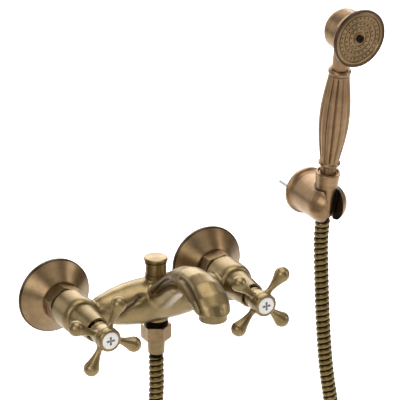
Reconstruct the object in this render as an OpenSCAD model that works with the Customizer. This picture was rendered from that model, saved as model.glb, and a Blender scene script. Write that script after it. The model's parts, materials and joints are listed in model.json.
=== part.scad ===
// Two-handle bath and shower mixer with a hand shower, hose and wall bracket.
// The origin is on the wall, midway between the two water inlets.
// +X is to the right, -Y is out of the wall and +Z is up.

/* [Inlets] */
// Distance between the two inlet centres
inlet_pitch = 150; // [125:1:190]
// Outer radius of the wall thread, half of 20.96 for G1/2
tail_r = 10.48; // [10:0.01:11]
// Length of the thread that goes into the wall
tail_len = 16; // [10:1:40]
// Outer radius of the thread that the union nut takes, half of 26.4 for G3/4
union_r = 13.2; // [12.5:0.1:14.5]
// Radius of the water passage in the inlet unions
inlet_bore_r = 6.5; // [5:0.1:7.5]
// Outer radius of the wall flange at the wall
flange_r = 33.6; // [30:0.1:45]
// Depth of the wall flange, from the wall to the nut
flange_h = 15; // [12:0.5:22]
// Thickness of the flange sheet
flange_wall = 1.2; // [0.8:0.1:2]
// Width across the flats of the union nut
nut_af = 30; // [29.5:0.5:34]
// Length of the union nut
nut_h = 12; // [11:0.5:18]
// How far each union nut is turned from one flat facing +X, hot then cold
nut_turn = [9, 40]; // [0:1:59]

/* [Body] */
// Outer radius of the two valve barrels
barrel_r = 17; // [16:0.1:22]
// Length of a valve barrel
barrel_h = 27; // [26:0.5:40]
// Gap between the union nut and the barrel, where the neck shows
neck_gap = 3; // [1:0.5:8]
// Radius of the cross bar at its middle
bar_mid_r = 19.6; // [18:0.1:24]
// Radius of the cross bar where it meets the barrels
bar_end_r = 9; // [8:0.1:9]
// Radius of the water passage along the cross bar
bar_bore_r = 6; // [4:0.1:7]
// Radius of the water passage in the spout
spout_bore_r = 5; // [3:0.1:6]

/* [Valves] */
// Radius of the thread that holds each valve in its barrel
valve_r = 10.4; // [9.5:0.1:11]
// Width across the flats of the valve's hexagon
valve_af = 19; // [16:0.5:19.5]
// Radius of the valve spindle
spindle_r = 4; // [3:0.1:4.5]
// Length of the conical shroud over the valve
shroud_h = 27; // [20:0.5:34]
// Radius of the shroud at the barrel
shroud_r0 = 13.2; // [12.8:0.1:16]
// Radius of the shroud at the handle
shroud_r1 = 11; // [10.5:0.1:13]
// Thickness of the shroud
shroud_wall = 1.4; // [1:0.1:1.6]
// Radius of the ceramic discs
disc_r = 8.3; // [7:0.1:8.4]
// Thickness of a ceramic disc
disc_h = 3; // [2:0.1:3.5]

/* [Handles] */
// Distance from the handle's centre to the middle of each knob end
arm_reach = 30; // [25:0.5:40]
// Radius of the knob ends
knob_r = 6.8; // [5:0.1:9]
// Thinnest radius of an arm
arm_r = 2.5; // [2:0.1:3.5]
// Length of the handle's hub
hub_h = 18; // [16:0.5:24]
// Radius of the hub at the back
hub_r0 = 9; // [8.8:0.1:10.5]
// Radius of the hub at the front
hub_r1 = 10.5; // [9.8:0.1:13]
// Gap between the shroud and the hub
hub_gap = 2; // [1:0.5:5]
// Radius of the white index disc
index_r = 7.8; // [6:0.1:8.3]
// Depth of the ring that holds the index disc
index_h = 5.2; // [4:0.1:7]
// How far each handle is turned from its plain X, hot then cold
handle_turn = [19, 0]; // [-45:1:45]

/* [Spout] */
// Half width of the spout's head
head_half_w = 17; // [14:0.1:22]
// Distance from the wall to the middle of the spout's mouth
mouth_y = 151; // [140:1:170]
// Height of the spout's lower face above the inlet centres
mouth_z = 27; // [22:0.5:32]
// Outer radius of the aerator's ring
aerator_r = 12; // [11.6:0.1:13]
// Radius of the aerator's thread
aerator_thread_r = 10.95; // [10.2:0.05:11]
// Height of the aerator's visible ring
aerator_h = 6.3; // [4:0.1:9]

/* [Diverter] */
// Height of the top of the knob above the inlet centres
knob_top = 38.5; // [36:0.5:50]
// Radius of the knob's head
knob_head_r = 10.4; // [9.6:0.1:13]
// Radius of the knob's sleeve
sleeve_r = 9.05; // [8.6:0.05:10.5]
// Radius of the fixed ring under the knob
diverter_base_r = 9.6; // [9:0.1:10]
// Height of the fixed ring under the knob
diverter_base_h = 3.5; // [2:0.1:4]
// Radius of the pull-up stem
stem_r = 2.5; // [2:0.1:3]
// How far the knob lifts
diverter_travel = 6; // [4:0.5:6.5]

/* [Hose] */
// Outer diameter of the hose
hose_d = 13.5; // [12:0.1:14]
// Outer radius of the G1/2 thread on the shower outlet
outlet_r = 10.48; // [10:0.01:10.6]
// Width across the flats of the hose nut
hose_nut_af = 23.2; // [23:0.1:26]
// Length of the hose nut
hose_nut_h = 12.8; // [11:0.1:18]
// Length of the crimped sleeve under the nut
ferrule_h = 13.9; // [8:0.1:24]
// Radius of the sleeve under the nut
ferrule_r = 8; // [7.4:0.1:9]

/* [Bracket] */
// Distance from the mixer's middle to the bracket's middle
bracket_x = 177; // [160:1:260]
// Height of the bracket's middle above the inlet centres
bracket_z = 49; // [40:1:80]
// Radius of the bracket's flange at the wall
bracket_flange_r = 21.5; // [20.5:0.1:30]
// Radius of the bracket's round end
ball_r = 18.5; // [18.3:0.1:22]
// Distance from the wall to the middle of the round end
ball_y = 35; // [34:0.5:45]
// Width of the slot that the hose passes through
slot_w = 15; // [14.5:0.1:17]
// Distance between the two wall screws
screw_pitch = 20; // [16:0.5:22]
// Radius of the wall screws
screw_r = 2.1; // [1.5:0.1:2.4]
// Length of the wall screws in the wall
screw_len = 28; // [20:1:50]
// Thickness of the liner that the cone nut rests in
liner_wall = 1.2; // [0.8:0.1:1.6]

/* [Hand shower] */
// How far the hand shower leans out from the wall
lean = 9.5; // [5:0.5:12]
// How far the spray face is turned towards +X
face_turn = 5; // [-20:1:20]
// Distance from the wall to the handle's lower ring
rest_y = 39.5; // [38:0.5:42]
// Height of the handle's lower ring
rest_z = 89.4; // [88:0.1:92]
// Radius of the thread between the cone nut and the hand shower
hand_thread_r = 9.4; // [8.8:0.1:9.5]
// Radius of the cone nut at its mouth
cone_r0 = 11; // [10.9:0.1:12.5]
// Radius of the cone nut at its small end
cone_r1 = 7.5; // [7.2:0.1:8]
// Length of the cone nut
cone_h = 42; // [38:0.5:44]
// Length of the fluted grip between its two rings
grip_h = 88.7; // [70:0.1:130]
// Largest radius of the grip
grip_r = 13.7; // [12:0.1:17]
// Radius of the grip at its foot
grip_foot_r = 8.35; // [7.5:0.05:10]
// Radius of the grip at its top
grip_top_r = 9.3; // [8:0.1:11]
// Radius of the ring at the top of the grip
collar_r = 10.2; // [9.8:0.1:13]
// Radius of the neck under the head
neck_r = 7.25; // [6:0.05:9]
// Distance from the lower ring to the head's middle
head_up = 132; // [128:1:180]
// Radius of the back of the head
head_r = 18.5; // [17:0.1:24]
// Radius of the head at the spray face
face_r = 26; // [24:0.1:45]
// Depth of the head
head_h = 31.4; // [28:0.1:38]
// Distance from the handle's axis to the spray face
face_out = 23; // [22:0.1:26]
// Radius of a spray hole
jet_r = 0.45; // [0.3:0.05:0.6]

/* [Hidden] */
$fn = 48;
fit = 0.05;          // radial clearance of threads, spindles and screws
run_gap = 0.1;       // gap between faces that slide on each other
bar_y = 48;          // the cross bar's axis, measured out of the wall
hot = -1;
cold = 1;

// distances out of the wall along an inlet
nut_y = flange_h;
neck_y = nut_y + nut_h;
washer_h = 2;
union_end = nut_y + 3.5;                 // end of the union's thread inside the nut
body_tail = union_end + washer_h;        // end of the body's inlet tail
tail_neck_r = 11.4;
ring_groove = 1;                         // depth of the retaining ring's groove
barrel_y = neck_y + neck_gap;
barrel_end = barrel_y + barrel_h;
barrel_front_r = 13.5;

// valve, measured out of the wall
seat_y = barrel_end - 19;
seal_h = 2.2;
disc_y = seat_y + seal_h;
disc2_y = disc_y + disc_h + fit;
driver_y = disc2_y + disc_h;
driver_h = 2.8;
cage_end = barrel_end - 3;
cage_r = disc_r + 0.25;
hex_h = 4.5;
neck_end = barrel_end + 15;
valve_neck_r = 7.4;
web_h = 3;
shroud_end = barrel_end + shroud_h;
hub_y = shroud_end + hub_gap;
hub_end = hub_y + hub_h;
socket_end = hub_y + 11;                 // depth of the spindle's socket
hub_web = 3;
arm_y = hub_y + 12.5;
screw_tip = socket_end - 8;
handle_screw_r = 1.9;

// diverter and outlet, measured up from the inlet centres
boss_top = 19.8;
boss_bottom = -20;
boss_r = 10.2;
chamber_r = 7.8;
bonnet_thread_r = 8.2;
bonnet_bottom = 11;
base_top = boss_top + diverter_base_h;
sleeve_bottom = base_top + 0.3;
sleeve_in_r = 6.9;
bonnet_neck_r = 6.5;
bonnet_neck_top = base_top + 1.7 + diverter_travel;
head_under = knob_top - 3;
floor_z = -7.1;
plug_z = -5;
plug_r = 6.8;
spring_seat_z = 0;
spring_r = 5.2;
spring_wire = 0.5;
spring_turns = 4;
nipple_top = -13;
nipple_spigot_r = 8.4;
nipple_bore_r = 4.5;
nipple_end = -31;
hose_nut_top = -24.7;
hose_nut_end = hose_nut_top - hose_nut_h;
ferrule_end = hose_nut_end - ferrule_h;
tail_pipe_r = 6.2;
hose_washer_h = 2;
tail_flange_r = 9.3;
swivel_flange_r = 8.6;

// spout: [distance out of the wall, height, tilt of the section, half width, half thickness]
spout_rows = [
  [46, -2, 25, 24, 15],
  [56, 4, 32, 19, 13.5],
  [66, 12, 38, 15.5, 12],
  [77, 21, 37, 13.5, 11.5],
  [88, 30, 32, 13, 11.5],
  [100, 37, 20, 13.6, 11.8],
  [112, 40.6, 4, 14.6, 12.4],
  [124, 41, -12, 15.6, 13],
  [134, 39, -30, 16.6, 13.4],
  [142, 35.5, -50, 17, 13.6],
  [147.5, 31.5, -70, 16.4, 13.8],
  [mouth_y, mouth_z, -90, head_half_w - 2, 14]
];
spout_sides = 20;
// the middle of the water passage: [distance out of the wall, height]
spout_water = [
  [46, 1], [58, 7], [70, 16], [82, 26], [96, 35.5], [112, 41], [126, 41], [138, 37.5], [147, 33], [151, 30]
];
spout_water_sides = 10;
aerator_thread_h = 5.2;
aerator_bore_r = 9.5;

// hose route, from the mixer's outlet to the hand shower, chosen by hand
hose_points = [
  [0, -48, -85], [-2, -48, -112], [-6, -47, -150], [-12, -46, -200],
  [-17, -45, -250], [-20, -44, -300], [-17, -43, -350], [-4, -42, -400],
  [22, -41, -440], [55, -40, -463], [92, -39, -470], [129, -38, -461],
  [163, -37, -436], [188, -36, -396], [200, -35, -345], [203, -34, -295],
  [200, -33, -245], [194, -32, -195], [187, -32, -150], [181, -32, -110],
  [178, -30.5, -65], [177, -28.5, -20], [177, -27, 5]
];
hose_lead = 14;      // straight stretch at each end of the hose
hose_sides = 10;
hose_steps = 3;      // rings along each stretch of the route

// hand shower, measured up its own axis from the lower ring
cone_top = -9.5;
cone_end = cone_top - cone_h;
thread_top = cone_top - 1.5;
thread_end = thread_top - 10;
cone_washer_h = 2;
swivel_top = thread_end - cone_washer_h - run_gap;
swivel_flange_h = 1.6;
swivel_r = 5.8;
collar_h = 5.3;
grip_bore_r = 5;
foot_neck_r = 7.4;
tail_collar_h = 2.2;
hose_end_h = cone_end - run_gap - 0.2 - tail_collar_h;
face_tilt = 85.1;    // between the handle's axis and the spray's direction
flare_h = 9;
face_plate_h = 2.4;
bracket_rest = [bracket_x, -rest_y, rest_z];
cone_gap = 0.2;      // between the cone nut and its liner
screw_neck = 0.1;    // how much thinner a wall screw is inside the plate
pocket_r = 16.4;
plate_h = 4.5;

bronze = "#9a8358";
warm_bronze = "#8a6f55";
dark_bronze = "#4a3826";
copper_bronze = "#a08060";
rubber = "#1c1a18";
porcelain = "#f0ece8";
ceramic = "#d8d4cc";
steel = "#a8a8a8";

// ---- frames ----

// local z runs out of the wall and local y runs up
module at_inlet(side) {
  translate([side * inlet_pitch / 2, 0, 0]) rotate([90, 0, 0]) children();
}

module both_inlets() {
  at_inlet(hot) children();
  at_inlet(cold) children();
}

// local z runs up the diverter's axis
module at_diverter() {
  translate([0, -bar_y, 0]) children();
}

module at_bracket() {
  translate([bracket_x, 0, bracket_z]) rotate([90, 0, 0]) children();
}

// local z runs up the hand shower's axis
module at_handset() {
  translate(bracket_rest) rotate([lean, 0, 0]) rotate([0, 0, face_turn]) children();
}

// local z runs out of the spray face
module at_head() {
  at_handset() translate([0, 0, head_up]) rotate([face_tilt, 0, 0]) children();
}

// ---- repeated shapes ----

module tube(r_out, r_in, z0, z1) {
  difference() {
    translate([0, 0, z0]) cylinder(r = r_out, h = z1 - z0);
    translate([0, 0, z0 - 1]) cylinder(r = r_in, h = z1 - z0 + 2);
  }
}

module rod(r, z0, z1) {
  translate([0, 0, z0]) cylinder(r = r, h = z1 - z0);
}

module cone(r0, r1, z0, z1) {
  translate([0, 0, z0]) cylinder(r1 = r0, r2 = r1, h = z1 - z0);
}

module hexagon(af, z0, z1) {
  translate([0, 0, z0]) rotate([0, 0, 30]) cylinder(r = af / 2 / cos(30), h = z1 - z0, $fn = 6);
}

// a hexagon whose corners are turned off at both ends
module turned_hexagon(af, z0, z1) {
  corner = af / 2 / cos(30);
  bevel = (corner - af / 2) * 0.6;
  intersection() {
    hexagon(af, z0, z1);
    rotate_extrude() polygon([
      [0, z0], [corner - bevel, z0], [corner, z0 + bevel * 0.6],
      [corner, z1 - bevel * 0.6], [corner - bevel, z1], [0, z1]
    ]);
  }
}

function spline(p0, p1, p2, p3, t) =
  0.5 * (2 * p1 + (p2 - p0) * t + (2 * p0 - 5 * p1 + 4 * p2 - p3) * t * t
    + (3 * p1 - p0 - 3 * p2 + p3) * t * t * t);

function spline_path(pts, steps) = [
  for (i = [0 : len(pts) - 2], k = [0 : steps - 1])
    spline(pts[max(i - 1, 0)], pts[i], pts[i + 1], pts[min(i + 2, len(pts) - 1)], k / steps),
  pts[len(pts) - 1]
];

// triangles of a closed tube whose points run ring by ring
function tube_faces(rings, sides) = concat(
  [[for (j = [0 : sides - 1]) j]],
  [for (i = [0 : rings - 2], j = [0 : sides - 1])
    [i * sides + j, (i + 1) * sides + j, (i + 1) * sides + (j + 1) % sides]],
  [for (i = [0 : rings - 2], j = [0 : sides - 1])
    [i * sides + j, (i + 1) * sides + (j + 1) % sides, i * sides + (j + 1) % sides]],
  [[for (j = [sides - 1 : -1 : 0]) (rings - 1) * sides + j]]
);

// a round tube along points; no stretch of the path runs along ref
module swept_tube(path, r, sides, ref) {
  last = len(path) - 1;
  points = [
    for (i = [0 : last])
      let (
        ahead = path[min(i + 1, last)] - path[max(i - 1, 0)],
        along = ahead / norm(ahead),
        side = cross(ref, along),
        u = side / norm(side),
        v = cross(along, u)
      )
      for (j = [0 : sides - 1])
        path[i] + r * (cos(360 * j / sides) * u + sin(360 * j / sides) * v)
  ];
  polyhedron(points, tube_faces(last + 1, sides), convexity = 10);
}

// ---- inlets ----

module eccentric(side) {
  color(dark_bronze) at_inlet(side) difference() {
    union() {
      rod(tail_r, -tail_len, 0);
      rod(tail_r + 1.5, 0, nut_y - 8);
      rod(union_r, nut_y - 8, union_end);
    }
    rod(inlet_bore_r, -tail_len - 1, union_end + 1);
  }
}

module wall_flange(side) {
  front_r = nut_af / 2 + 2.5;
  hole_r = union_r + fit;
  color(warm_bronze) at_inlet(side) rotate_extrude() polygon([
    [flange_r, 0], [flange_r, 2], [flange_r - 0.8, 2.8], [front_r, flange_h],
    [hole_r, flange_h], [hole_r, flange_h - flange_wall],
    [front_r - 1, flange_h - flange_wall], [flange_r - 2.4, 2], [flange_r - 2.4, 0]
  ]);
}

module union_nut(side) {
  turn = side == hot ? nut_turn[0] : nut_turn[1];
  color(warm_bronze) at_inlet(side) difference() {
    rotate([0, 0, turn]) turned_hexagon(nut_af, nut_y, neck_y);
    rod(union_r + fit, nut_y - 1, neck_y - 3);
    rod(tail_neck_r + fit, nut_y, neck_y + 1);
  }
}

module retaining_rings() {
  ring_y = neck_y - 3 - 1.4;
  color(steel) both_inlets() difference() {
    tube(union_r - 0.4, tail_neck_r - ring_groove + fit, ring_y, ring_y + 1.3);
    translate([0, -2, ring_y - 1]) cube([union_r + 1, 4, 4]);
  }
}

module inlet_washers() {
  color(rubber) both_inlets() tube(union_r - 0.4, inlet_bore_r + 1, union_end, body_tail);
}

// ---- body ----

module barrel() {
  corner = barrel_r - barrel_front_r;
  rotate_extrude() polygon(concat(
    [[0, barrel_y - neck_gap + 0.4], [union_r, barrel_y - neck_gap + 0.4], [union_r, barrel_y],
     [barrel_r - 0.8, barrel_y], [barrel_r, barrel_y + 0.8]],
    [for (a = [0 : 15 : 90])
      [barrel_front_r + corner * cos(a), barrel_end - 2 * corner + 2 * corner * sin(a)]],
    [[0, barrel_end]]
  ));
  rod(tail_neck_r, body_tail, barrel_y);
}

module cross_bar() {
  half = inlet_pitch / 2;
  side = [
    [bar_end_r, half], [bar_end_r, half - 14.5], [bar_end_r + 3, half - 21],
    [bar_mid_r - 3.6, half - 34], [bar_mid_r - 1, half - 47], [bar_mid_r, half - 58]
  ];
  translate([0, -bar_y, 0]) rotate([0, 90, 0]) rotate_extrude() polygon(concat(
    [[0, half]], side, [for (i = [len(side) - 1 : -1 : 0]) [side[i][0], -side[i][1]]], [[0, -half]]
  ));
}

module spout_solid() {
  points = [
    for (row = spout_rows, j = [0 : spout_sides - 1])
      let (a = 360 * j / spout_sides, up = row[4] * sin(a))
      [row[3] * cos(a), -row[0] + up * sin(row[2]), row[1] + up * cos(row[2])]
  ];
  polyhedron(points, tube_faces(len(spout_rows), spout_sides), convexity = 6);
}

module body_waterways() {
  both_inlets() {
    rod(inlet_bore_r, body_tail - 1, seat_y + 1);
    rod(valve_r + fit, seat_y, barrel_end + 1);
    rotate_extrude() polygon([
      [tail_neck_r - ring_groove, neck_y - 4.5], [tail_neck_r + 1, neck_y - 4.5],
      [tail_neck_r + 1, neck_y - 3], [tail_neck_r - ring_groove, neck_y - 3]
    ]);
  }
  translate([-inlet_pitch / 2, -bar_y, 0]) rotate([0, 90, 0]) cylinder(r = bar_bore_r, h = inlet_pitch);
  at_diverter() {
    rod(chamber_r, floor_z, boss_top);
    rod(bonnet_thread_r + fit, bonnet_bottom, boss_top + 1);
    rod(nipple_bore_r, nipple_top - 1, floor_z + 1);
    rod(nipple_spigot_r + fit, boss_bottom - 1, nipple_top);
  }
  swept_tube([for (p = spout_water) [0, -p[0], p[1]]], spout_bore_r, spout_water_sides, [1, 0, 0]);
  translate([0, -mouth_y, mouth_z - 1]) cylinder(r = aerator_thread_r + fit, h = aerator_thread_h + 1.6);
}

module mixer_body() {
  color(bronze) difference() {
    union() {
      both_inlets() barrel();
      cross_bar();
      at_diverter() rod(boss_r, boss_bottom, boss_top);
      spout_solid();
    }
    body_waterways();
  }
}

// ---- valves ----

module seat_seals() {
  color(rubber) both_inlets() tube(disc_r + 0.6, inlet_bore_r - 1, seat_y, disc_y);
}

module disc_ports(angle, z0) {
  for (turn = [angle, angle + 180])
    rotate([0, 0, turn]) translate([disc_r * 0.48, 0, z0 - 1]) cylinder(r = disc_r * 0.3, h = disc_h + 2);
}

module fixed_disc(side) {
  color(ceramic) at_inlet(side) difference() {
    rod(disc_r, disc_y, disc_y + disc_h);
    disc_ports(0, disc_y);
  }
}

module turning_disc(side) {
  color(ceramic) at_inlet(side) difference() {
    rod(disc_r - 0.1, disc2_y, disc2_y + disc_h);
    disc_ports(90, disc2_y);
  }
}

module valve_housing(side) {
  window = 9;
  color(bronze) at_inlet(side) difference() {
    union() {
      rod(valve_r, disc_y, barrel_end);
      hexagon(valve_af, barrel_end, barrel_end + hex_h);
      rod(valve_neck_r, barrel_end, neck_end);
    }
    rod(cage_r, disc_y - 1, cage_end);
    rod(spindle_r + fit, cage_end - 1, neck_end + 1);
    translate([-valve_r - 1, -window / 2, driver_y + 0.5])
      cube([2 * valve_r + 2, window, cage_end - driver_y - 1.5]);
  }
}

module valve_spindle(side) {
  color(steel) at_inlet(side) difference() {
    union() {
      rod(disc_r - 0.3, driver_y, driver_y + driver_h);
      rod(spindle_r, driver_y, socket_end - fit);
    }
    rod(handle_screw_r + fit, screw_tip - 1, socket_end + 1);
  }
}

module shroud(side) {
  web_y = neck_end - web_h - 1;
  web_r = shroud_r0 + (shroud_r1 - shroud_r0) * (web_y + web_h - barrel_end) / shroud_h - shroud_wall / 2;
  color(bronze) at_inlet(side) union() {
    rotate_extrude() polygon([
      [shroud_r0, barrel_end], [shroud_r1, shroud_end - 0.6], [shroud_r1 - 0.5, shroud_end],
      [shroud_r1 - shroud_wall, shroud_end], [shroud_r0 - shroud_wall, barrel_end]
    ]);
    tube(web_r, valve_neck_r + fit, web_y, web_y + web_h);
  }
}

// ---- handles ----

module handle_arm() {
  rotate([0, 90, 0]) rotate_extrude() polygon(concat(
    [[0, 6], [arm_r + 1.2, 6], [arm_r + 0.4, hub_r1 + 0.5], [arm_r, arm_reach - 16],
     [arm_r + 0.2, arm_reach - 12], [arm_r + 0.8, arm_reach - 8.6]],
    [for (a = [140 : -20 : 0]) [knob_r * sin(a), arm_reach + knob_r * cos(a)]]
  ));
}

module handle(side) {
  turn = side == hot ? handle_turn[0] : handle_turn[1];
  color(bronze) at_inlet(side) rotate([0, 0, turn]) difference() {
    union() {
      rotate_extrude() polygon([
        [0, hub_y], [hub_r0 - 1, hub_y], [hub_r0, hub_y + 1], [hub_r0 - 0.4, hub_y + 5],
        [hub_r0 + 0.2, hub_y + 8], [hub_r1 - 0.3, hub_y + 12], [hub_r1, hub_end - 1],
        [hub_r1 - 0.6, hub_end], [0, hub_end]
      ]);
      for (i = [0 : 3]) translate([0, 0, arm_y]) rotate([0, 0, 45 + 90 * i]) handle_arm();
    }
    rod(spindle_r + fit, hub_y - 1, socket_end);
    rod(handle_screw_r + 0.2, socket_end - 1, hub_end);
    rod(index_r + fit, socket_end + hub_web, hub_end + 1);
  }
}

module handle_screw(side) {
  seat = socket_end + hub_web;
  color(steel) at_inlet(side) difference() {
    union() {
      rod(handle_screw_r, screw_tip, seat);
      rod(handle_screw_r * 2, seat, seat + 2);
    }
    hexagon(2.5, seat + 0.6, seat + 3);
  }
}

module index_ring(side) {
  color(bronze) at_inlet(side) rotate_extrude() polygon([
    [index_r - 1.6, hub_end - 2.6], [index_r, hub_end - 2.6], [index_r, hub_end],
    [hub_r1 - 0.4, hub_end], [hub_r1 - 0.2, hub_end + index_h - 1.4],
    [hub_r1 - 1, hub_end + index_h - 0.3], [index_r + fit, hub_end + index_h],
    [index_r + fit, hub_end + index_h - 3], [index_r - 1.6, hub_end + index_h - 3]
  ]);
}

module index_disc(side) {
  face = hub_end + index_h;
  color(porcelain) at_inlet(side) rotate_extrude() polygon([
    [0, face - 3], [index_r, face - 3], [index_r, face - 0.5], [index_r - 0.6, face - 0.1],
    [index_r * 0.5, face + 0.2], [0, face + 0.3]
  ]);
}

// ---- spout's mouth ----

module at_mouth() {
  translate([0, -mouth_y, 0]) children();
}

module aerator_ring() {
  low = mouth_z - aerator_h;
  color(bronze) at_mouth() rotate_extrude() polygon([
    [aerator_bore_r - 0.9, low], [aerator_r - 0.5, low], [aerator_r, low + 0.5],
    [aerator_r, mouth_z - 0.6], [aerator_r - 0.6, mouth_z],
    [aerator_thread_r, mouth_z], [aerator_thread_r, mouth_z + aerator_thread_h],
    [aerator_bore_r, mouth_z + aerator_thread_h], [aerator_bore_r, low + 1.5],
    [aerator_bore_r - 0.9, low + 1.5]
  ]);
}

module aerator_insert() {
  low = mouth_z - aerator_h + 1.5;
  color(steel) at_mouth() difference() {
    union() {
      tube(aerator_bore_r - fit, aerator_bore_r - 1.4, low, mouth_z + aerator_thread_h - 1.5);
      rod(aerator_bore_r - 1, low + 2, low + 3.2);
    }
    for (ring = [1 : 3], i = [0 : 6 * ring - 1])
      rotate([0, 0, 60 * i / ring]) translate([2.4 * ring, 0, low]) cylinder(r = 0.8, h = 6);
  }
}

module aerator_washer() {
  top = mouth_z + aerator_thread_h;
  color(rubber) at_mouth() tube(aerator_bore_r - fit, 6, top - 1.5, top + 0.55);
}

// ---- diverter ----

module diverter_bonnet() {
  color(bronze) at_diverter() difference() {
    union() {
      rod(bonnet_thread_r, bonnet_bottom, boss_top);
      rod(diverter_base_r, boss_top, base_top);
      rod(bonnet_neck_r, base_top, bonnet_neck_top);
    }
    rod(stem_r + fit, bonnet_bottom - 1, bonnet_neck_top + 1);
  }
}

module diverter_knob() {
  color(bronze) at_diverter() difference() {
    rotate_extrude() polygon([
      [0, sleeve_bottom], [sleeve_r, sleeve_bottom], [sleeve_r, head_under - 2.6],
      [sleeve_r + 0.6, head_under - 2.4], [sleeve_r + 0.6, head_under - 1.4],
      [sleeve_r - 0.6, head_under - 1.2], [sleeve_r - 0.6, head_under],
      [knob_head_r - 0.6, head_under], [knob_head_r, head_under + 0.6],
      [knob_head_r, knob_top - 0.8], [knob_head_r - 0.8, knob_top - 0.1],
      [0, knob_top + 0.3]
    ]);
    rod(sleeve_in_r, sleeve_bottom - 1, bonnet_neck_top + 1);
    rod(stem_r + fit, bonnet_neck_top, head_under + 0.5);
  }
}

module diverter_stem() {
  color(steel) at_diverter() {
    rod(stem_r, floor_z - 1.6, head_under + 0.5 - fit);
    rod(plug_r, plug_z, plug_z + 2);
    rod(plug_r - 1, spring_seat_z - 1, spring_seat_z);
  }
}

module diverter_seals() {
  color(rubber) at_diverter() {
    tube(plug_r - 0.2, stem_r, plug_z - 2, plug_z);
    tube(plug_r - 0.2, stem_r, plug_z + 2, spring_seat_z - 1);
  }
}

module diverter_spring() {
  low = spring_seat_z + spring_wire + 0.1;
  high = bonnet_bottom - spring_wire - 0.1;
  turn_steps = 10;
  path = [
    for (i = [0 : spring_turns * turn_steps])
      let (a = 360 * i / turn_steps, rise = (high - low) * i / (spring_turns * turn_steps))
      [spring_r * cos(a), spring_r * sin(a), low + rise]
  ];
  sides = 6;
  points = [
    for (i = [0 : len(path) - 1])
      let (a = 360 * i / turn_steps)
      for (j = [0 : sides - 1])
        path[i] + spring_wire * [
          cos(360 * j / sides) * cos(a), cos(360 * j / sides) * sin(a), sin(360 * j / sides)
        ]
  ];
  color(steel) at_diverter() polyhedron(points, tube_faces(len(path), sides), convexity = 8);
}

// ---- outlet and hose ----

module outlet_nipple() {
  color(dark_bronze) at_diverter() difference() {
    union() {
      rod(nipple_spigot_r, boss_bottom, nipple_top);
      rod(outlet_r, nipple_end, boss_bottom);
    }
    rod(nipple_bore_r, nipple_end - 1, nipple_top + 1);
  }
}

module outlet_washer() {
  color(rubber) at_diverter() tube(tail_flange_r, nipple_bore_r, nipple_end - hose_washer_h, nipple_end);
}

module hose_nut() {
  flange_low = nipple_end - hose_washer_h - 1.6;
  color(warm_bronze) at_diverter() difference() {
    turned_hexagon(hose_nut_af, hose_nut_end, hose_nut_top);
    rod(outlet_r + fit, flange_low, hose_nut_top + 1);
    rod(tail_pipe_r + fit, hose_nut_end - 1, hose_nut_top);
  }
}

module hose_ferrule() {
  top = nipple_end - hose_washer_h;
  color(bronze) at_diverter() difference() {
    union() {
      rod(tail_flange_r, top - 1.6, top);
      rod(tail_pipe_r, hose_nut_end - 1, top);
      cone(ferrule_r - 0.8, ferrule_r, ferrule_end, hose_nut_end - fit);
    }
    rod(3.5, ferrule_end - 1, top + 1);
  }
}

module hose() {
  exit = [0, -bar_y, ferrule_end];
  up = [0, -sin(lean), cos(lean)];
  back = bracket_rest + (hose_end_h - 0.3) * up;
  route = concat([exit, exit - [0, 0, hose_lead]], hose_points, [back - hose_lead * up, back]);
  color(bronze) swept_tube(spline_path(route, hose_steps), hose_d / 2, hose_sides, [0, 1, 0]);
}

module hose_tail() {
  color(bronze) at_handset() difference() {
    union() {
      rod(swivel_flange_r, swivel_top - swivel_flange_h, swivel_top);
      rod(swivel_r, hose_end_h, swivel_top);
      rod(hose_d / 2 + 0.2, hose_end_h, hose_end_h + tail_collar_h);
    }
    rod(3.5, hose_end_h - 1, swivel_top + 1);
  }
}

module cone_nut() {
  flange_low = swivel_top - swivel_flange_h - run_gap;
  color(bronze) at_handset() difference() {
    rotate_extrude() polygon([
      [0, cone_end], [cone_r1, cone_end], [cone_r0, cone_top - 0.8], [cone_r0 - 0.3, cone_top], [0, cone_top]
    ]);
    rod(hand_thread_r + fit, thread_end - cone_washer_h, cone_top + 1);
    rod(swivel_flange_r + run_gap, flange_low, cone_top);
    rod(swivel_r + run_gap, cone_end - 1, cone_top);
  }
}

// ---- hand shower ----

module cone_washer() {
  color(rubber) at_handset() tube(hand_thread_r - 0.2, grip_bore_r, thread_end - cone_washer_h, thread_end);
}

// radius of the grip at a height between its two rings
function grip_radius(h) =
  let (t = h / grip_h, base = grip_foot_r + (grip_top_r - grip_foot_r) * t)
  base + (grip_r - (grip_foot_r + grip_top_r) / 2) * pow(sin(180 * t), 1.15);

module handset_grip() {
  ring_r = grip_foot_r + 1.55;
  color(copper_bronze) at_handset() difference() {
    rotate_extrude() polygon(concat(
      [[0, thread_end], [hand_thread_r - 0.5, thread_end], [hand_thread_r, thread_end + 0.5],
       [hand_thread_r, thread_top], [foot_neck_r, thread_top + 1], [foot_neck_r, -3.4],
       [foot_neck_r + 1, -1.6], [ring_r - 0.5, -1.3], [ring_r, -0.5], [ring_r - 0.4, 0.6],
       [grip_foot_r, 1.2]],
      [for (i = [1 : 15]) let (h = grip_h * i / 16) [grip_radius(h), h]],
      [[grip_top_r, grip_h], [0, grip_h]]
    ));
    rod(grip_bore_r, thread_end - 1, grip_h + 1);
  }
}

module handset_collar() {
  bulge = collar_h / 2;
  color(copper_bronze) at_handset() difference() {
    rotate_extrude() polygon(concat(
      [[0, grip_h], [collar_r - bulge * 0.8, grip_h]],
      [for (a = [-75 : 25 : 75])
        [collar_r - bulge * 0.8 + bulge * 0.8 * cos(a), grip_h + bulge + bulge * sin(a)]],
      [[0, grip_h + collar_h]]
    ));
    rod(grip_bore_r, grip_h - 1, grip_h + collar_h + 1);
  }
}

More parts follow.
